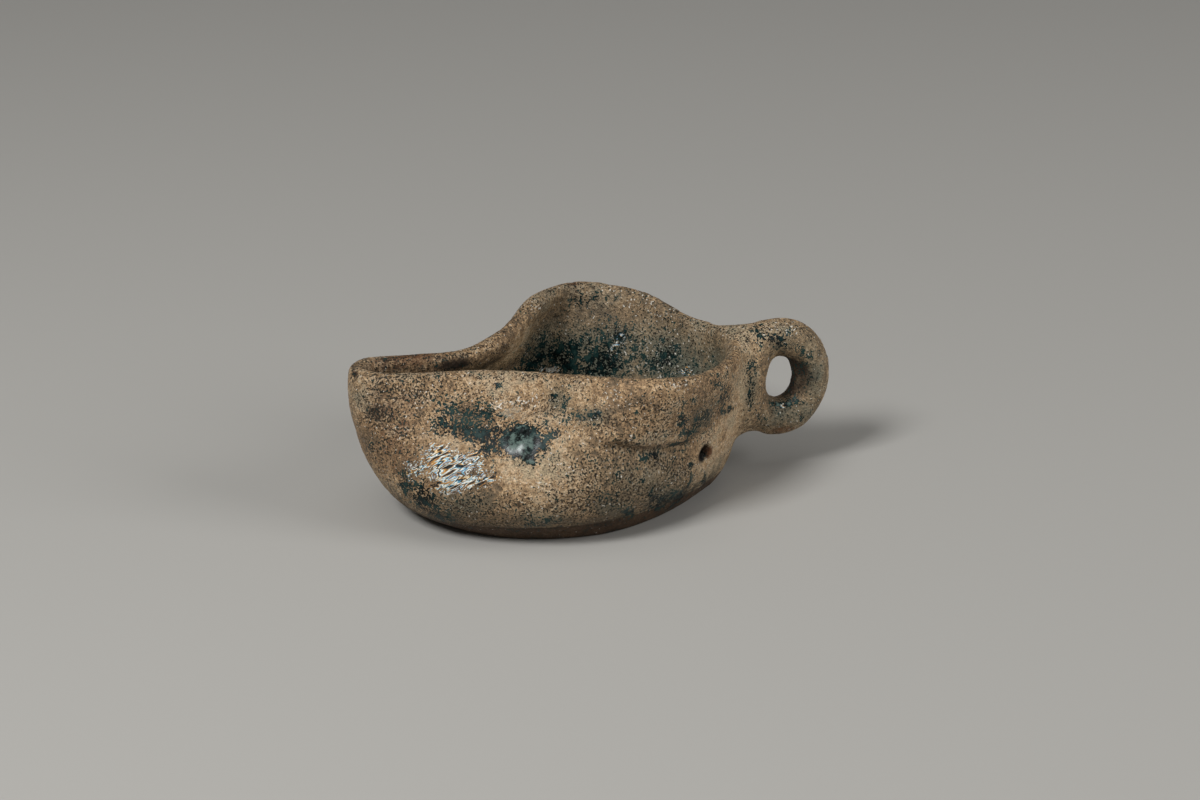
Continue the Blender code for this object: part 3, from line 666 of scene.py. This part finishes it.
def pressMarks(mesh):
    # finger marks, nicks and scored lines, and the painted shade in the scored lines and the pit
    points, normals, ends, counts = meshArrays(mesh)
    press = np.zeros(len(points))
    for at, wide, tall, tilt, amount in hollows.values():
        press -= amount * mm * spotOn(points, normals, at, wide, tall, tilt)
    crease = np.zeros(len(points))
    for line, width, depth, step in scoreLines.values():
        apart, above = fromLine(points, line)
        cut = np.exp(-(apart / (width * mm)) ** 2)
        press -= depth * mm * cut
        stands = step * mm * np.tanh(above / (marks["step edge"] * mm))
        press += stands * np.exp(-(apart / (marks["step reach"] * mm)) ** 2)
        # the scored lines are darkened with painted shade
        crease = np.maximum(crease, marks["line painted shade"] * cut)
    points = points + normals * press[:, None]

    at, out = np.array(pit["at"]) * mm, np.array(pit["out"])
    out /= np.linalg.norm(out)
    along, up = waysOn(out)
    away = points - at
    off = away @ out
    u, w = away @ along / (pit["wide"] * mm), away @ up / (pit["tall"] * mm)
    reach = np.hypot(u, w)
    near = (reach < pit["reaches"]) & (np.abs(off) < pit["wall behind"] * mm)
    near &= normals @ out > pit["turned away"]
    level = np.median(off[near & (reach > pit["wall around"])])
    floor = level - pit["deep"] * mm * stepBetween(reach, *pit["side"])
    pull = (floor - off) * stepBetween(reach, *pit["drawn in"]) * near
    movePoints(mesh, points + out * pull[:, None])
    # painted shade in the pit, shifted to one side as its shadow
    dark = near * stepBetween(np.hypot(u + pit["painted shadow aside"], w), *pit["dark"])
    return np.maximum(crease, dark)


def layFields(mesh, crease):
    # what lies on the clay, as fields on the mesh: relief and colour both read them
    points, normals, ends, counts = meshArrays(mesh)
    x, y, z = points.T
    laid = {name: spread(points, normals, rows) for name, rows in patches.items()}

    # the wall's inner face and the floor inside
    middle = np.clip(x, *(end * mm for end in bowl["middle line"]))
    out = np.stack([x - middle, y, np.zeros_like(x)], axis=1)
    out /= np.maximum(np.linalg.norm(out, axis=1, keepdims=True), 1e-6)
    facesUp = normals[:, 2]
    inside = stepBetween((normals * out).sum(1), *bowl["facing out or in"])
    inside = np.maximum(inside, (facesUp > bowl["floor faces up"]) & (z < bowl["floor below"] * mm))
    inside *= (x < bowl["handle begins"] * mm) & (z > bowl["floor above"] * mm)

    # glaze pooled in the bowl, with a wavering edge
    waver = sum(share * np.sin((along * x + across * y) / (length * mm) + shift)
                for share, along, across, length, shift in bowl["waves"])
    waver *= bowl["wave height"] * mm
    deep = zone(z + waver, "pooled glaze, up")
    deep *= zone(x + bowl["waves along"] * waver, "pooled glaze, along")
    laid["glaze"] = np.maximum(laid["glaze"], laidIn["pooled glaze"] * inside * deep)
    whole = laidIn["whole glaze"] * inside * zone(z + waver, "whole glaze, up")
    laid["melted"] = np.maximum(laid["melted"], whole)

    # haze inside the bowl, and grey painted shade on the low outer wall, darker towards the foot
    deeper = laidIn["haze deeper down"] * zone(z, "bowl's haze, up")
    haze = inside * (laidIn["haze under the rim"] + deeper) * zone(x, "bowl's haze, along")
    low = (1 - inside) * zone(z, "low wall")
    laid["haze"] = np.maximum(np.maximum(laid["haze"], haze), laidIn["grey painted shade on the low wall"] * low)

    # soot in and on the spout, and brown painted shade on the low outer wall
    spout = zone(x, "spout")
    sooty = laidIn["soot in the spout"] * inside * spout
    sooty = np.maximum(sooty, laidIn["soot at the spout's end"] * zone(x, "spout's end"))
    flatTop = stepBetween(facesUp, *bowl["flat faces up"]) * spout * zone(z, "flat top of the spout")
    onTop = laidIn["soot on the flat top"] + laidIn["more on its far half"] * zone(y, "flat top's far half")
    sooty = np.maximum(sooty, flatTop * onTop)
    sooty = np.maximum(sooty, laidIn["brown painted shade on the low wall"] * low)
    laid["soot"] = np.maximum(laid["soot"], sooty)

    laid["trimmed"] = (1 - inside) * zone(z, "trimmed foot")
    laid["rimLine"] = stepBetween(facesUp, *bowl["rim faces up"]) * (z > bowl["rim above"] * mm)
    # painted shade of the scored lines and the pit
    laid["crease"] = crease
    for name, values in laid.items():
        field = mesh.attributes.new(name, "FLOAT", "POINT")
        field.data.foreach_set("value", np.ascontiguousarray(values, dtype=np.float32))


lamp = finerLamp(lampSkin)
print("lamp: finer skin of", len(lamp.data.vertices), "points")
layFields(lamp.data, pressMarks(lamp.data))
print("lamp: finger marks pressed, glaze, bloom, soot and wear laid out")

weathering = {
    "Lump height": 0.30 * mm,       # unevenness of a hand-made wall
    "Lump size": 12.0 * mm,
    "Grain height": 0.13 * mm,      # coarse temper under the skin
    "Grain size": 1.7 * mm,
    "Pit depth": 0.34 * mm,
    "Pit spacing": 3.6 * mm,
    "Glaze thickness": 0.15 * mm,
    "Foot height": 1.2 * mm,        # the relief fades below it, so that the foot stays flat
    "Seed": 0.173,
}
# how the tree shapes them
skinRules = {
    "lumpDetail": 2.5,
    "grainDetail": 3.0,
    "edgeDetail": 4.0,
    "edgeSize": 1.8,            # of the glaze's ragged edge, in grain sizes
    "edgeContrast": 2.0,
    "glazeEdge": (0.42, 0.60),      # none and all of its thickness
    "meltedEdge": (0.35, 0.6),
    "grainsHidden": -0.65,      # by glaze, and on wiped clay
    "grainsMelted": -0.3,       # and more where the glaze stayed whole
    "pitWidth": (0.12, 0.10),   # from one to another, and the least, as shares of their spacing
    "pitSide": (1.0, 0.1),      # rim and floor
    "pitChance": (0.55, 0.7),   # draws under the first give no pit
    "reliefUnit": 0.2 * mm,     # of the field that the material reads
}
maths, vectors, noiseTexture = "ShaderNodeMath", "ShaderNodeVectorMath", "ShaderNodeTexNoise"
plus, minus, times, over = ({"operation": name} for name in ("ADD", "SUBTRACT", "MULTIPLY", "DIVIDE"))
timesPlus, larger = {"operation": "MULTIPLY_ADD"}, {"operation": "MAXIMUM"}
fade, softStep = "ShaderNodeMapRange", {"interpolation_type": "SMOOTHSTEP"}


def weatheredSkin(inputs, s):
    # Geometry Nodes tree that lifts and pits the skin along its normals
    tree = bpy.data.node_groups.new("weathered skin", "GeometryNodeTree")
    tree.interface.new_socket("Geometry", in_out="OUTPUT", socket_type="NodeSocketGeometry")
    for name in ("Geometry", *inputs, "Material"):
        kind = "Float" if name in inputs else name
        tree.interface.new_socket(name, in_out="INPUT", socket_type="NodeSocket" + kind)

    add = partial(addNode, tree)
    given = add("NodeGroupInput").outputs
    place = add("GeometryNodeInputPosition")
    shift = add("ShaderNodeCombineXYZ", None, (given["Seed"],) * 3)
    moved = add(vectors, plus, (place, shift))
    named = {}
    for name in ("glaze", "melted", "clean"):
        named[name] = add("GeometryNodeInputNamedAttribute", {"data_type": "FLOAT"}, (name,))
    edgeSize = add(maths, times, (given["Grain size"], s["edgeSize"]))
    noises = {}
    for name, size, detail in (
        ("lumps", given["Lump size"], s["lumpDetail"]),
        ("grain", given["Grain size"], s["grainDetail"]),
        ("ragged", edgeSize, s["edgeDetail"]),
    ):
        scale = add(maths, over, (1.0, size))
        noises[name] = add(noiseTexture, None, {"Vector": moved, "Scale": scale, "Detail": detail})

    # lumps and grains, both from -1 to 1; glaze and wiped clay hide the grains
    lumps = add(maths, times, (add(maths, timesPlus, (noises["lumps"], 2.0, -1.0)), given["Lump height"]))
    grain = add(maths, timesPlus, (noises["grain"], 2.0, -1.0))
    ragged = add(maths, minus, (noises["ragged"], 0.5))
    cover = add(maths, timesPlus, (ragged, s["edgeContrast"], named["glaze"]))
    cover = add(fade, softStep, (cover, *s["glazeEdge"]))
    cover = add(maths, larger, (cover, add(fade, softStep, (named["melted"], *s["meltedEdge"]))))
    bare = add(maths, timesPlus, (add(maths, larger, (cover, named["clean"])), s["grainsHidden"], 1.0))
    bare = add(maths, timesPlus, (named["melted"], s["grainsMelted"], bare))
    grains = add(maths, times, (add(maths, times, (grain, bare)), given["Grain height"]))

    # small pits in some of the cells
    spacing = add(maths, over, (1.0, given["Pit spacing"]))
    cell = add("ShaderNodeTexVoronoi", None, {"Vector": moved, "Scale": spacing})
    chance = add("FunctionNodeSeparateColor", None, (cell.outputs["Color"],))
    width = add(maths, timesPlus, (chance.outputs[1], *s["pitWidth"]))
    dip = add(fade, softStep, (add(maths, over, (cell.outputs["Distance"], width)), *s["pitSide"]))
    dip = add(maths, times, (dip, add(fade, softStep, (chance.outputs[0], *s["pitChance"]))))
    pits = add(maths, times, (add(maths, times, (dip, given["Pit depth"])), -1.0))

    # all of it along the normals, fading out above the foot
    skin = add(maths, times, (cover, given["Glaze thickness"]))
    rise = add(maths, plus, (add(maths, plus, (lumps, grains)), add(maths, plus, (pits, skin))))
    height = add("ShaderNodeSeparateXYZ", None, (place,)).outputs[2]
    rise = add(maths, times, (rise, add(fade, softStep, (height, 0.0, given["Foot height"]))))
    offset = add(vectors, {"operation": "SCALE"}, (add("GeometryNodeInputNormal"), rise))
    relief = add(maths, over, (add(maths, plus, (pits, grains)), s["reliefUnit"]))
    stored = add("GeometryNodeStoreNamedAttribute", {"data_type": "FLOAT", "domain": "POINT"},
                 {"Geometry": given["Geometry"], "Name": "relief", "Value": relief})
    lifted = add("GeometryNodeSetPosition", None, {"Geometry": stored, "Offset": offset})
    real = add("GeometryNodeRealizeInstances", None, {"Geometry": lifted})
    coated = add("GeometryNodeSetMaterial", None, {"Geometry": real, "Material": given["Material"]})
    add("NodeGroupOutput", None, {"Geometry": coated})
    return tree


def runTree(piece, tree, values):
    modifier = piece.modifiers.new(tree.name, "NODES")
    modifier.node_group = tree
    sockets = {item.name: item.identifier for item in tree.interface.items_tree if item.in_out == "INPUT"}
    for name, value in values.items():
        modifier[sockets[name]] = value
    return plainMesh(piece, piece.name)


# Coarse buff earthenware, thrown and once glazed all over. The clay is sandy and matt with dark grains.
# The alkaline glaze is left as deep teal glass with ragged edges, silver-blue and flaky where it decayed.
earthenware = {
    "clayTones": (
        (0.34, "#79664F"), (0.43, "#A08261"), (0.50, "#B69873"), (0.57, "#C8AD8C"), (0.66, "#B3A082"),
    ),
    "darkGrains": ("#131813", "#34271B"),
    # pale grains, and white painted glints
    "paleGrainAndPaintedGlint": "#F3EEE2",
    # soot, also used for painted shade low on the wall and in the ring's hole
    "sootAndShadeColour": "#35291F",
    "rustColour": "#6E4A30",
    # bare trimmed foot, darker than its clay as painted shade under the lamp
    "trimmedFootAndShade": "#4B3525",
    "hazeColour": "#62675A",
    # near black painted shade in the pit and the scored lines
    "paintedShadeColour": "#0F0A07",
    "glazeTones": (
        (0.36, "#060D0D"), (0.46, "#0A1818"), (0.54, "#0F2727"), (0.62, "#163130"), (0.70, "#283F3B"),
    ),
    "thinGlaze": "#64766F",
    "clearGlazeAndPaintedSheen": "#938E80",     # clay seen through glaze without colour, paler as a painted sheen
    "bloomTones": (
        (0.34, "#0A1318"), (0.375, "#1D3A44"), (0.40, "#C98F4C"), (0.42, "#DDB476"), (0.432, "#8CCBE0"),
        (0.446, "#FFFFFB"), (0.465, "#FCF6E0"), (0.478, "#62AFD0"), (0.49, "#0B161C"), (0.512, "#122730"),
        (0.526, "#CF9955"), (0.54, "#F1DFB0"), (0.555, "#FFFFFF"), (0.57, "#9FD8EC"), (0.585, "#3F88BA"),
        (0.60, "#D39C55"), (0.618, "#12202A"), (0.65, "#F2F4EE"),
    ),
    "glazeRoughness": 0.42,     # where it is eaten
    "wholeRoughness": 0.23,     # where it ran thick
    "grittyGlaze": 0.25,        # from the grit, on both
    "bloomRoughness": 0.32,
    "clayGloss": 0.30,          # specular level
    "ior": 1.5,
    # size in millimetres, detail, roughness and shift of each noise
    "noises": {
        "broad": (15.0, 3.0, 0.50, 0.00),
        "patchy": (5.5, 3.0, 0.55, 0.21),
        "ragged": (1.6, 4.0, 0.70, 0.43),
        "speck": (1.2, 3.0, 0.70, 1.31),
        "grit": (0.47, 1.5, 0.60, 0.65),
        "grain": (0.36, 1.0, 0.55, 0.87),   # drawn a little coarse, so that it shows
        "paleSpeck": (0.60, 1.0, 0.50, 1.09),
    },
    "runDown": 0.75,        # squeezes the ragged noise upright, the way that the glaze ran
    "flakes": (1.5, 2.0, 0.6, 0.35),        # size in millimetres, detail, roughness and bend of the bloom's
    "flakesRun": (0.833, -0.219, 0.506),    # the way that they run
    "flakesDrawnOut": -0.76,    # makes them about four times as long that way
    "bumpHeight": 0.28 * mm,
    # layers, from the fields, the noises and the layers before them: what each starts from, what is added
    # and how much of it (a number or another layer), and the levels between which it goes from 0 to 1
    "layers": {
        # clay: warm and cool patches, sandy grit and painted light and shade, then what stains it and
        # painted shade
        "clayTone": (0.5, {"broad": 0.7, "patchy": 0.5, "ragged": 0.55, "speck": 0.5}),
        # the clay's lightness: grain and speck, up-facing rim tops a little darker, and the painted light
        # and shade of the pale patches
        "clayLight": (1.0, {"grain": 2.2, "speck": 1.2, "rimLine": -0.12, "pale": 1.0}),
        "hazeDrift": (0.8, {"patchy": 1.6}),
        "tinted": (0, {"haze": "hazeDrift"}),
        "pared": ("trimmed", {"patchy": 1.5}, 0.30, 0.75),
        "paredTint": (0, {"pared": 0.85}),
        "rusted": ("rust", {"ragged": 1.6}, 0.25, 0.8),
        # soot, and painted shade where the soot field holds it low on the wall and in the ring's hole
        "sooted": ("soot", {"patchy": 0.9, "ragged": 1.4}, 0.15, 1.0),
        # darker in the pits and low grains of the relief
        "hollow": ("relief", {}, -0.15, -1.2),
        "dirt": (0, {"hollow": 0.7}),
        # dark grains, in drifts, and pale ones with painted glints
        "crowd": (
            0.28,
            {"grains": 0.42, "clean": -0.60, "haze": 0.12, "soot": 0.25, "speck": 1.15, "patchy": 0.95,
             "grain": 1.8, "grit": 3.8, "rimLine": 0.15},
            0.66, 0.77,
        ),
        "unpared": (0.95, {"pared": -0.6}),
        "dark": (0, {"crowd": "unpared"}),
        "brownGrain": ("patchy", {}, -0.05, 0.10),
        # pale grains and painted glints, mixed white into the clay
        "glint": ("paleSpeck", {"sooted": -0.10, "glints": 0.16}, 0.20, 0.24),
        "glintTint": (0, {"glint": 0.75}),
        # glaze: its share of the clay is in the fields, its edge in the noises; whole where it ran thick
        "whole": ("melted", {}, 0.30, 0.65),
        "eaten": (-0.17, {"ragged": 3.4, "patchy": 0.9, "grain": 1.5, "grit": 2.7}),
        "open": (1.0, {"whole": -0.75}),
        "cover": (0, {"eaten": "open", "glaze": 1.16, "clean": -0.30}, 0.46, 0.54),
        "glazeTone": (0.5, {"patchy": -0.8, "ragged": 1.6, "grit": 0.5}),
        "thin": ("melted", {"ragged": 2.0, "speck": 2.0}, 0.55, 1.1),
        # paler clay under whole glaze, partly a painted sheen
        "clearest": ("melted", {"grit": 1.0, "speck": 3.0}, 0.45, 1.2),
        "clear": (0, {"clearest": 0.6}),
        # bloom: flakes between dark cracks, in its own patches alone
        "flaking": ("bloom", {"speck": 3.6, "grain": 1.2}, 0.26, 0.40),
        "bloomPatch": ("bloom", {}, 0.02, 0.15),
        "flaked": (0, {"flaking": "bloomPatch"}),
        "flakedTint": (0, {"flaked": 0.96}),
        "flakedMetal": (0, {"flaked": 0.25}),
        # painted white glints on the bloom where the glints field is strong
        "bright": ("glints", {}, 0.5, 0.9),
        # roughness, gloss and height
        "clayRoughness": (0.62, {"grit": 0.5, "sooted": 0.15, "glint": -0.38, "clear": -0.55}),
        "glazeGloss": (0.16, {"whole": 0.12}),
        "bare": (1.0, {"cover": -0.75, "whole": -0.22}),
        "sand": ("grit", {"speck": 1.6, "grain": 0.7, "dark": -0.14}),
        "flakeEdges": (0, {"flaked": "flakes"}),
        "height": (0, {"sand": "bare", "cover": 0.16, "flakeEdges": 0.35}),
    },
}


def wornGlazeOnEarthenware(s):
    material = bpy.data.materials.new("worn teal glaze on buff earthenware")
    material.use_nodes = True
    tree = material.node_tree
    shader = tree.nodes["Principled BSDF"]
    add = partial(addNode, tree)

    place = add("ShaderNodeTexCoord").outputs["Object"]
    mix, ramp, mixNumber = "ShaderNodeMix", "ShaderNodeValToRGB", {"data_type": "FLOAT"}
    blend, multiply = ({"data_type": "RGBA", "blend_type": kind} for kind in ("MIX", "MULTIPLY"))

    # the fields laid on the mesh
    parts = {}
    for name in (*patches, "trimmed", "rimLine", "crease", "relief"):
        parts[name] = add("ShaderNodeAttribute", {"attribute_name": name}).outputs["Fac"]

    # noises of each size, shifted apart and centred on zero
    for name, (size, detail, roughness, shift) in s["noises"].items():
        squeeze = (1, 1, s["runDown"] if name == "ragged" else 1)
        moved = add("ShaderNodeMapping", None, {"Vector": place, "Location": (shift,) * 3, "Scale": squeeze})
        made = add(noiseTexture, None, {
            "Vector": moved, "Scale": perSize(size), "Detail": detail, "Roughness": roughness,
        })
        parts[name] = add(maths, minus, (made, 0.5))

    # flakes of the bloom, drawn out one way
    streak = add(vectors, {"operation": "DOT_PRODUCT"}, (place, s["flakesRun"]))
    streak = add(maths, times, (streak.outputs["Value"], s["flakesDrawnOut"]))
    run = add("ShaderNodeCombineXYZ", None, [add(maths, times, (streak, part)) for part in s["flakesRun"]])
    size, detail, roughness, bend = s["flakes"]
    parts["flakes"] = add(noiseTexture, None, {
        "Vector": add(vectors, plus, (place, run)), "Scale": perSize(size), "Detail": detail,
        "Roughness": roughness, "Distortion": bend,
    })

    for name, (start, added, *levels) in s["layers"].items():
        total = parts.get(start, start)
        for part, share in added.items():
            total = add(maths, timesPlus, (parts[part], parts.get(share, share), total))
        parts[name] = add(fade, softStep, (total, *levels)) if levels else total

    # colour: the clay and what stains it, then the glaze, painted shade in the pit and creases, and the
    # bloom
    clay = add(ramp, None, (parts["clayTone"],), s["clayTones"])
    light = add("ShaderNodeCombineColor", None, (parts["clayLight"],) * 3)
    clay = add(mix, multiply, (1.0, clay, light))
    darkGrain = add(mix, blend, (parts["brownGrain"], *s["darkGrains"]))
    for name, stain in (
        ("tinted", s["hazeColour"]), ("paredTint", s["trimmedFootAndShade"]), ("rusted", s["rustColour"]),
        ("sooted", s["sootAndShadeColour"]), ("dirt", s["sootAndShadeColour"]), ("dark", darkGrain),
        ("glintTint", s["paleGrainAndPaintedGlint"]), ("clear", s["clearGlazeAndPaintedSheen"]),
    ):
        clay = add(mix, blend, (parts[name], clay, stain))
    glass = add(ramp, None, (parts["glazeTone"],), s["glazeTones"])
    glass = add(mix, blend, (parts["thin"], glass, s["thinGlaze"]))
    bloom = add(ramp, None, (parts["flakes"],), s["bloomTones"])
    bloom = add(mix, blend, (parts["bright"], bloom, s["paleGrainAndPaintedGlint"]))
    colour = add(mix, blend, (parts["cover"], clay, glass))
    colour = add(mix, blend, (parts["crease"], colour, s["paintedShadeColour"]))
    colour = add(mix, blend, (parts["flakedTint"], colour, bloom))

    # finish: matt clay, glassy glaze where it stayed whole, and a faint metal sheen on the bloom
    glassy = add(mix, mixNumber, (parts["whole"], s["glazeRoughness"], s["wholeRoughness"]))
    glassy = add(maths, timesPlus, (parts["grit"], s["grittyGlaze"], glassy))
    roughness = add(mix, mixNumber, (parts["cover"], parts["clayRoughness"], glassy))
    roughness = add(mix, mixNumber, (parts["flaked"], roughness, s["bloomRoughness"]))
    gloss = add(mix, mixNumber, (parts["cover"], s["clayGloss"], parts["glazeGloss"]))
    bump = add("ShaderNodeBump", None, {"Distance": s["bumpHeight"], "Height": parts["height"]})
    for name, value in {
        "Base Color": colour, "Roughness": roughness, "Metallic": parts["flakedMetal"],
        "Specular IOR Level": gloss, "Normal": bump,
    }.items():
        tree.links.new(next(s for s in value.outputs if s.enabled), shader.inputs[name])
    shader.inputs["IOR"].default_value = s["ior"]
    return material


fired = wornGlazeOnEarthenware(earthenware)
skinTree = weatheredSkin(weathering, skinRules)
mesh = runTree(lamp, skinTree, {**weathering, "Material": fired})
for face in mesh.polygons:
    face.use_smooth = True
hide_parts("lamp")
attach(lamp, "root")
mesh.calc_loop_triangles()
print("lamp: weathered skin,", len(mesh.loop_triangles), "triangles")
